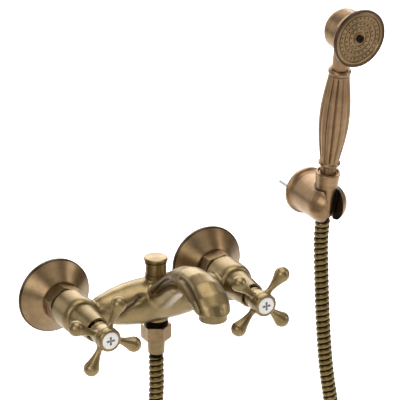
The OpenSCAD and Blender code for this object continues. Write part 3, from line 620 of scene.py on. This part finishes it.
def setSockets(shader, values):
    for name, value in values.items():
        shader.inputs[name].default_value = value


def axisPlaces(tree, place, point, direction):
    # distances along and away from a turning axis, and the direction that a lathe's marks run in
    offset = addNode(tree, "ShaderNodeVectorMath", {0: place, 1: point}, operation="SUBTRACT").outputs[0]
    along = addNode(tree, "ShaderNodeVectorMath", {0: offset, 1: direction}, operation="DOT_PRODUCT")
    cross = addNode(tree, "ShaderNodeVectorMath", {0: direction, 1: offset}, operation="CROSS_PRODUCT")
    away = addNode(tree, "ShaderNodeVectorMath", {0: cross.outputs[0]}, operation="LENGTH")
    inWorld = addNode(tree, "ShaderNodeVectorTransform", {"Vector": cross.outputs[0]}, vector_type="VECTOR",
                      convert_from="OBJECT", convert_to="WORLD").outputs[0]
    lathe = addNode(tree, "ShaderNodeCombineXYZ", {"X": along.outputs["Value"], "Y": away.outputs["Value"]})
    return lathe.outputs[0], inWorld


# Antique bronze: brass plated with a brown copper oxide, brushed through on the high places and lacquered.
# The eye sees warm streaked highlights, darker hollows and a soft rather than mirror-like gloss; here the
# darker hollows, rims and slot walls are painted shade, partly oxide in the hollows.
finishes = {
    "olive": {"bright": "#a08b63", "mid": "#7b6743", "dark": "#33281a", "rough": 0.36},
    "brown": {"bright": "#a68b68", "mid": "#7a6243", "dark": "#2f221a", "rough": 0.33},
    "copper": {"bright": "#ac8c69", "mid": "#85694a", "dark": "#33251a", "rough": 0.35},
    "dark": {"bright": "#4a3a2c", "mid": "#2c2119", "dark": "#14100c", "rough": 0.22},
}


def antiqueBronze(name, finish, axis=None, creaseShade=0, slot=None, rimMm=None):
    look = finishes[finish]
    bright, mid, dark = [linearColour(look[key]) for key in ("bright", "mid", "dark")]
    material, tree, shader, place = newMaterial(name)
    # patina in clouds of 14 mm, and oxide flecks of about 1 mm
    cloud = addNode(tree, "ShaderNodeTexNoise", {
        "Vector": place, "Scale": 1 / (14 * mm), "Detail": 4, "Roughness": 0.55}).outputs["Fac"]
    fleck = addNode(tree, "ShaderNodeTexNoise", {
        "Vector": place, "Scale": 1 / (1.1 * mm), "Detail": 4, "Roughness": 0.65}).outputs["Fac"]
    tone = addNode(tree, "ShaderNodeMapRange", {0: cloud, 1: 0.3, 2: 0.72, 3: 0.15, 4: 0.95}).outputs[0]
    colour = addNode(tree, "ShaderNodeMix", {0: tone, 6: mid, 7: bright}, data_type="RGBA").outputs[2]
    shade = addNode(tree, "ShaderNodeMapRange", {0: fleck, 1: 0.52, 2: 0.78, 3: 0, 4: 0.35}).outputs[0]
    colour = addNode(tree, "ShaderNodeMix", {0: shade, 6: colour, 7: dark}, data_type="RGBA").outputs[2]
    if axis is None:
        marks = addNode(tree, "ShaderNodeTexNoise", {
            "Vector": place, "Scale": 1 / (0.5 * mm), "Detail": 2, "Roughness": 0.55}).outputs["Fac"]
    else:
        # turning marks round the axis, and broader streaks of wear between them
        lathe, tangent = axisPlaces(tree, place, [v * mm for v in axis[0]], axis[1])
        marks = addNode(tree, "ShaderNodeTexNoise", {
            "Vector": lathe, "Scale": 1 / (0.35 * mm), "Detail": 2, "Roughness": 0.55}).outputs["Fac"]
        tree.links.new(tangent, shader.inputs["Tangent"])
        setSockets(shader, {"Anisotropic": 0.55, "Anisotropic Rotation": 0.25})
        wear = addNode(tree, "ShaderNodeTexNoise", {
            "Vector": lathe, "Scale": 1 / (2.4 * mm), "Detail": 2, "Roughness": 0.55}).outputs["Fac"]
        streak = addNode(tree, "ShaderNodeMapRange", {0: wear, 1: 0.35, 2: 0.7, 3: 0, 4: 0.4}).outputs[0]
        colour = addNode(tree, "ShaderNodeMix", {0: streak, 6: colour, 7: mid}, data_type="RGBA").outputs[2]
        if rimMm:
            # painted shade: the rim is painted dark
            radius, along = rimMm[0] * mm, rimMm[1] * mm
            soft = 0.35 * mm
            parts = addNode(tree, "ShaderNodeSeparateXYZ", {0: lathe})
            outside = addNode(tree, "ShaderNodeMapRange", {
                0: parts.outputs["Y"], 1: radius, 2: radius + soft, 3: 0, 4: 0.85}).outputs[0]
            forward = addNode(tree, "ShaderNodeMapRange", {
                0: parts.outputs["X"], 1: along, 2: along + soft, 3: 0, 4: 1}).outputs[0]
            rim = addNode(tree, "ShaderNodeMath", {0: outside, 1: forward}, operation="MULTIPLY").outputs[0]
            colour = addNode(tree, "ShaderNodeMix", {0: rim, 6: colour, 7: dark}, data_type="RGBA").outputs[2]
    # painted shade in creases, flutes and valleys, partly oxide in the hollows, read from a mesh attribute
    if creaseShade:
        depth = addNode(tree, "ShaderNodeAttribute", attribute_name="creaseShade").outputs["Fac"]
        hollow = addNode(tree, "ShaderNodeMapRange", {0: depth, 1: 0.25, 2: 1, 3: 0, 4: creaseShade}).outputs[0]
        colour = addNode(tree, "ShaderNodeMix", {0: hollow, 6: colour, 7: dark}, data_type="RGBA").outputs[2]
    if slot:
        # painted shade on the slot's walls: its centre, its half width and how far out it starts, in mm
        centre, half, out = slot
        parts = addNode(tree, "ShaderNodeSeparateXYZ", {0: place})
        aside = addNode(tree, "ShaderNodeMath", {0: parts.outputs["X"], 1: centre * mm}, operation="SUBTRACT")
        aside = addNode(tree, "ShaderNodeMath", {0: aside.outputs[0]}, operation="ABSOLUTE").outputs[0]
        inside = addNode(tree, "ShaderNodeMapRange", {
            0: aside, 1: (half + 0.1) * mm, 2: (half + 0.35) * mm, 3: 1, 4: 0}).outputs[0]
        outward = addNode(tree, "ShaderNodeMapRange", {
            0: parts.outputs["Y"], 1: -(out + 3) * mm, 2: -out * mm, 3: 1, 4: 0}).outputs[0]
        walls = addNode(tree, "ShaderNodeMath", {0: inside, 1: outward}, operation="MULTIPLY").outputs[0]
        colour = addNode(tree, "ShaderNodeMix", {0: walls, 6: colour, 7: dark}, data_type="RGBA").outputs[2]
    tree.links.new(colour, shader.inputs["Base Color"])
    rough = addNode(tree, "ShaderNodeMapRange", {
        0: marks, 1: 0.3, 2: 0.7, 3: look["rough"] - 0.05, 4: look["rough"] + 0.09})
    tree.links.new(rough.outputs[0], shader.inputs["Roughness"])
    bump = addNode(tree, "ShaderNodeBump", {"Height": marks, "Strength": 0.12, "Distance": 0.05 * mm})
    tree.links.new(bump.outputs[0], shader.inputs["Normal"])
    setSockets(shader, {"Metallic": 1.0, "Coat Weight": 0.12, "Coat Roughness": 0.15})
    return material


def plainFinish(name, first, second, roughness, metallic=0.0):
    # moulded, pressed or machined pieces that sit inside: two close tones and a grain of 0.6 mm
    first, second = linearColour(first), linearColour(second)
    material, tree, shader, place = newMaterial(name)
    grain = addNode(tree, "ShaderNodeTexNoise", {
        "Vector": place, "Scale": 1 / (0.6 * mm), "Detail": 3, "Roughness": 0.55}).outputs["Fac"]
    tone = addNode(tree, "ShaderNodeMapRange", {0: grain, 1: 0.3, 2: 0.7, 3: 0, 4: 1}).outputs[0]
    colour = addNode(tree, "ShaderNodeMix", {0: tone, 6: first, 7: second}, data_type="RGBA").outputs[2]
    tree.links.new(colour, shader.inputs["Base Color"])
    rough = addNode(tree, "ShaderNodeMapRange", {
        0: grain, 1: 0.3, 2: 0.7, 3: roughness - 0.05, 4: roughness + 0.08})
    tree.links.new(rough.outputs[0], shader.inputs["Roughness"])
    bump = addNode(tree, "ShaderNodeBump", {"Height": grain, "Strength": 0.08, "Distance": 0.03 * mm})
    tree.links.new(bump.outputs[0], shader.inputs["Normal"])
    setSockets(shader, {"Metallic": metallic, "Specular IOR Level": 0.5})
    return material


def glazedPorcelain(name, centre):
    # white glaze over porcelain, slightly cloudy, with a small dark four-leaf mark fired into it
    white, cloudy, ink = linearColour("#f4f0ea"), linearColour("#e9e4dc"), linearColour("#3a3330")
    material, tree, shader, place = newMaterial(name)
    middle = [v * mm for v in centre]
    offset = addNode(tree, "ShaderNodeVectorMath", {0: place, 1: middle}, operation="SUBTRACT").outputs[0]
    away = addNode(tree, "ShaderNodeVectorMath", {0: offset}, operation="LENGTH").outputs["Value"]
    parts = addNode(tree, "ShaderNodeSeparateXYZ", {0: offset}).outputs
    angle = addNode(tree, "ShaderNodeMath", {0: parts["Z"], 1: parts["X"]}, operation="ARCTAN2").outputs[0]
    twice = addNode(tree, "ShaderNodeMath", {0: angle, 1: 2.0}, operation="MULTIPLY").outputs[0]
    leaf = addNode(tree, "ShaderNodeMath", {0: twice}, operation="COSINE").outputs[0]
    leaf = addNode(tree, "ShaderNodeMath", {0: leaf}, operation="ABSOLUTE").outputs[0]
    # the leaves reach from 0.5 to 4.1 mm, with a soft edge
    reach = addNode(tree, "ShaderNodeMapRange", {0: leaf, 1: 0.15, 2: 1, 3: 0.5 * mm, 4: 4.1 * mm}).outputs[0]
    gap = addNode(tree, "ShaderNodeMath", {0: reach, 1: away}, operation="SUBTRACT").outputs[0]
    mark = addNode(tree, "ShaderNodeMapRange", {0: gap, 1: -0.1 * mm, 2: 0.15 * mm, 3: 0, 4: 0.9}).outputs[0]
    cloud = addNode(tree, "ShaderNodeTexNoise", {
        "Vector": place, "Scale": 1 / (3 * mm), "Detail": 2, "Roughness": 0.55}).outputs["Fac"]
    tone = addNode(tree, "ShaderNodeMapRange", {0: cloud, 1: 0.3, 2: 0.7, 3: 0, 4: 1}).outputs[0]
    glaze = addNode(tree, "ShaderNodeMix", {0: tone, 6: white, 7: cloudy}, data_type="RGBA").outputs[2]
    colour = addNode(tree, "ShaderNodeMix", {0: mark, 6: glaze, 7: ink}, data_type="RGBA").outputs[2]
    tree.links.new(colour, shader.inputs["Base Color"])
    rough = addNode(tree, "ShaderNodeMapRange", {0: tone, 1: 0, 2: 1, 3: 0.1, 4: 0.16}).outputs[0]
    tree.links.new(rough, shader.inputs["Roughness"])
    setSockets(shader, {"Coat Weight": 0.6, "Coat Roughness": 0.04})
    return material


def hoseBand(name):
    # interlocked brass strip in antique bronze: bright crowns, with painted shade, nearly black, where one
    # turn meets the next
    low, high, groove = linearColour("#665534"), linearColour("#8d784c"), linearColour("#120b06")
    material, tree, shader, place = newMaterial(name)
    cloud = addNode(tree, "ShaderNodeTexNoise", {
        "Vector": place, "Scale": 1 / (9 * mm), "Detail": 4, "Roughness": 0.55}).outputs["Fac"]
    tone = addNode(tree, "ShaderNodeMapRange", {0: cloud, 1: 0.3, 2: 0.7, 3: 0, 4: 0.8}).outputs[0]
    colour = addNode(tree, "ShaderNodeMix", {0: tone, 6: low, 7: high}, data_type="RGBA").outputs[2]
    # painted shade in the grooves, from a mesh attribute
    depth = addNode(tree, "ShaderNodeAttribute", attribute_name="creaseShade").outputs["Fac"]
    colour = addNode(tree, "ShaderNodeMix", {0: depth, 6: colour, 7: groove}, data_type="RGBA").outputs[2]
    tree.links.new(colour, shader.inputs["Base Color"])
    rough = addNode(tree, "ShaderNodeMapRange", {0: depth, 1: 0, 2: 1, 3: 0.24, 4: 0.5}).outputs[0]
    tree.links.new(rough, shader.inputs["Roughness"])
    fine = addNode(tree, "ShaderNodeTexNoise", {
        "Vector": place, "Scale": 1 / (0.5 * mm), "Detail": 2, "Roughness": 0.55}).outputs["Fac"]
    bump = addNode(tree, "ShaderNodeBump", {"Height": fine, "Strength": 0.1, "Distance": 0.04 * mm})
    tree.links.new(bump.outputs[0], shader.inputs["Normal"])
    setSockets(shader, {"Metallic": 1.0})
    return material


outOfWall, upright = (0, 1, 0), (0, 0, 1)
axes = {
    "hot": ((-inletAside, 0, 0), outOfWall),
    "cold": ((inletAside, 0, 0), outOfWall),
    "outlet": (tuple(diverterAxis), upright),
    "mouth": ((0, -mouthOut, 0), upright),
    "hand": (tuple(handPlace), tuple(handUp)),
    "rest": ((177, 0, 49), outOfWall),
}
faceDirection = (faceMatrix.to_3x3() @ Vector(upright)).normalized()
axes["face"] = (tuple(faceMatrix.translation / mm), tuple(faceDirection))

metalNodes = {
    # node: finish and the axis that its brushing runs round
    "wall_flange_hot": ("brown", "hot"), "wall_flange_cold": ("brown", "cold"),
    "union_nut_hot": ("brown", "hot"), "union_nut_cold": ("brown", "cold"),
    "shroud_hot": ("olive", "hot"), "shroud_cold": ("olive", "cold"),
    "index_ring_hot": ("olive", "hot"), "index_ring_cold": ("olive", "cold"),
    "diverter_bonnet": ("olive", "outlet"), "diverter_knob": ("olive", "outlet"),
    "hose_nut": ("brown", "outlet"), "hose_ferrule": ("olive", "outlet"),
    "aerator_ring": ("olive", "mouth"), "eccentric_hot": ("dark", "hot"), "eccentric_cold": ("dark", "cold"),
    "cone_nut": ("copper", "hand"), "hose_tail": ("olive", "hand"), "handset_collar": ("copper", "hand"),
    "head_shell": ("copper", "face"), "face_plate": ("brown", "face"),
}
# where a rim's painted shade starts, in mm from the axis and along it
rims = {"wall_flange_hot": (32.3, -40), "wall_flange_cold": (32.3, -40), "head_shell": (24, 20)}
metals = {}


def metalFor(finish, axisName, creaseShade=0, rimMm=None):
    key = (finish, axisName, creaseShade, rimMm)
    if key not in metals:
        name = "antiqueBronze" + finish.capitalize() + (axisName or "cast").capitalize()
        name += ("ShadedHollows" if creaseShade else "") + ("RimShaded" if rimMm else "")
        metals[key] = antiqueBronze(name, finish, axes.get(axisName), creaseShade, rimMm=rimMm)
    return metals[key]


brass = plainFinish("machinedBrass", "#c9a85c", "#b08d48", 0.3, metallic=1.0)          # bright, finely turned
steel = plainFinish("stainlessSteel", "#b9bbbc", "#a3a5a7", 0.28, metallic=1.0)        # cool grey
blackRubber = plainFinish("nitrileRubber", "#1b1b1c", "#262627", 0.6)                  # matt black, moulded
alumina = plainFinish("aluminaCeramic", "#ece8dd", "#dfd9cb", 0.22)                    # lapped, off-white
whiteAcetal = plainFinish("acetalWhite", "#e6e5e0", "#d9d8d2", 0.38)                   # waxy white moulding
blackAcetal = plainFinish("acetalBlack", "#202022", "#2b2b2d", 0.35)                   # satin black moulding
screwMetal = plainFinish("screwBlackened", "#30241c", "#1d1611", 0.3, metallic=1.0)    # blackened steel
families = [
    (blackRubber, ["inlet_washers", "seat_seals", "aerator_washer", "diverter_seals", "outlet_washer",
                   "cone_washer", "face_seal"]),
    (alumina, ["fixed_disc_hot", "fixed_disc_cold", "turning_disc_hot", "turning_disc_cold"]),
    (steel, ["retaining_rings", "handle_screw_hot", "handle_screw_cold", "diverter_spring",
             "bracket_plate", "bracket_screws", "bracket_grub_screw"]),
    (brass, ["valve_housing_hot", "valve_housing_cold", "valve_spindle_hot", "valve_spindle_cold",
             "diverter_stem"]),
    (blackAcetal, ["bracket_liner"]),
    (whiteAcetal, ["aerator_insert"]),
    (screwMetal, ["face_screw"]),
]


def paint(piece, material):
    piece.data.materials.clear()
    piece.data.materials.append(material)


for nodeName, (finish, axisName) in metalNodes.items():
    paint(nodes[nodeName], metalFor(finish, axisName, rimMm=rims.get(nodeName)))
for material, names in families:
    for nodeName in names:
        paint(nodes[nodeName], material)
bracketMetal = antiqueBronze("antiqueBronzeBracket", "copper", axes["rest"], slot=(177, 7.5, 27))
paint(nodes["bracket_body"], bracketMetal)
for side, x in (("hot", -inletAside), ("cold", inletAside)):
    paint(nodes["index_disc_" + side], glazedPorcelain("porcelainGlazed" + side.capitalize(), (x, -109.4, 0)))
print("finishes made:", len(bpy.data.materials))

# pieces that stand for CAD nodes
replaced = {
    "mixer_body": (castBody, "root", "antique_bronze", metalFor("olive", None, 0.85)),
    "handset_grip": (grip, "handset", "copper_bronze", metalFor("copper", "hand", 0.55)),
    "outlet_nipple": (outletThread, "root", "dark_bronze", metalFor("dark", "outlet")),
    "face_plate": (sprayFace, "handset", "antique_bronze", metalFor("brown", "face")),
    "handle_hot": (handleHot, "hot_handle", "antique_bronze", metalFor("olive", None)),
    "handle_cold": (handleCold, "cold_handle", "antique_bronze", metalFor("olive", None)),
}
for nodeName, (piece, body, slotName, material) in replaced.items():
    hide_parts(nodeName)
    paint(piece, material)
    paint(nodes[nodeName], material)
    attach(piece, body)

# the hose: painted shade in its grooves
grooveLayer = hose.data.attributes.new("creaseShade", "FLOAT", "POINT")
crown = hoseLook["diameter"] / 2
hoseTree = kdtree.KDTree(len(hoseLine))
for i, point in enumerate(hoseLine):
    hoseTree.insert(point, i)
hoseTree.balance()
for i, vertex in enumerate(hose.data.vertices):
    place = vertex.co / mm
    _, j, _ = hoseTree.find(place)
    a, b = hoseLine[max(j - 1, 0)], hoseLine[min(j + 1, len(hoseLine) - 1)]
    t = (place - a).dot(b - a) / (b - a).length_squared
    r = (place - a.lerp(b, t)).length
    grooveLayer.data[i].value = 1 if r < crown - hoseLook["darkBelow"] else 0
paint(hose, hoseBand("spiralBronzeHose"))
paint(nodes["hose"], hose.data.materials[0])
smoothByAngle(hose, 60)
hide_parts("hose")
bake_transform(hose)
print("pieces ride on their bodies")


# floor, world and lights
studio = {
    "floorHeight": -0.48, "floorSize": 14, "floorGlow": 0.1, "worldStrength": 0.24,
    "lights": {
        # name: place, what it is aimed at, size in metres and power in watts
        "keyLeft": ((-2.0, -1.5, 1.3), (0.05, -0.05, 0.05), 1.9, 26),
        "overhead": ((0.3, -0.2, 2.3), (0.05, -0.05, 0.05), 2.4, 34),
        "fillRight": ((2.3, -1.3, 0.9), (0.05, -0.05, 0.05), 1.3, 12),
        "lowFront": ((-0.5, -2.7, 0.1), (0.05, -0.05, 0.05), 1.0, 4),
        "backPanel": ((0.8, 2.1, 1.25), (0.05, -0.05, 0.1), 2.2, 8),
        "backLeft": ((-1.7, 2.1, 0.8), (0, -0.05, 0.05), 1.8, 9),
        "floorWash": ((0.75, 1.35, 0.5), (0.75, 1.36, -0.48), 2.2, 34),
    },
}
white = (1, 1, 1, 1)
clearSelection()
bpy.ops.mesh.primitive_plane_add(size=studio["floorSize"], location=(0, 0, studio["floorHeight"]))
floor = bpy.context.active_object
floor.name = "studioFloor"
floorMaterial, floorTree, floorShader, floorPlace = newMaterial("studioPaper")
fibre = addNode(floorTree, "ShaderNodeTexNoise", {
    "Vector": floorPlace, "Scale": 1 / (40 * mm), "Detail": 3, "Roughness": 0.55}).outputs["Fac"]
paperTone = addNode(floorTree, "ShaderNodeMapRange", {0: fibre, 1: 0.3, 2: 0.7, 3: 0, 4: 1}).outputs[0]
paper = addNode(floorTree, "ShaderNodeMix", {
    0: paperTone, 6: linearColour("#fbfbfb"), 7: linearColour("#f8f8f8")}, data_type="RGBA").outputs[2]
floorTree.links.new(paper, floorShader.inputs["Base Color"])
setSockets(floorShader, {"Roughness": 0.9, "Emission Color": white, "Emission Strength": studio["floorGlow"]})
floor.data.materials.append(floorMaterial)

world = bpy.data.worlds.new("studioWorld")
bpy.context.scene.world = world
world.use_nodes = True
backdrop = world.node_tree.nodes["Background"]
setSockets(backdrop, {"Color": white, "Strength": studio["worldStrength"]})
for name, (place, aim, size, power) in studio["lights"].items():
    data = bpy.data.lights.new(name, "AREA")
    data.shape, data.size, data.energy = "DISK", size, power
    lamp = bpy.data.objects.new(name, data)
    bpy.context.scene.collection.objects.link(lamp)
    lamp.location = place
    lamp.rotation_euler = (Vector(place) - Vector(aim)).to_track_quat("Z", "Y").to_euler()
bpy.context.scene.view_settings.view_transform = "Standard"
print("studio ready")
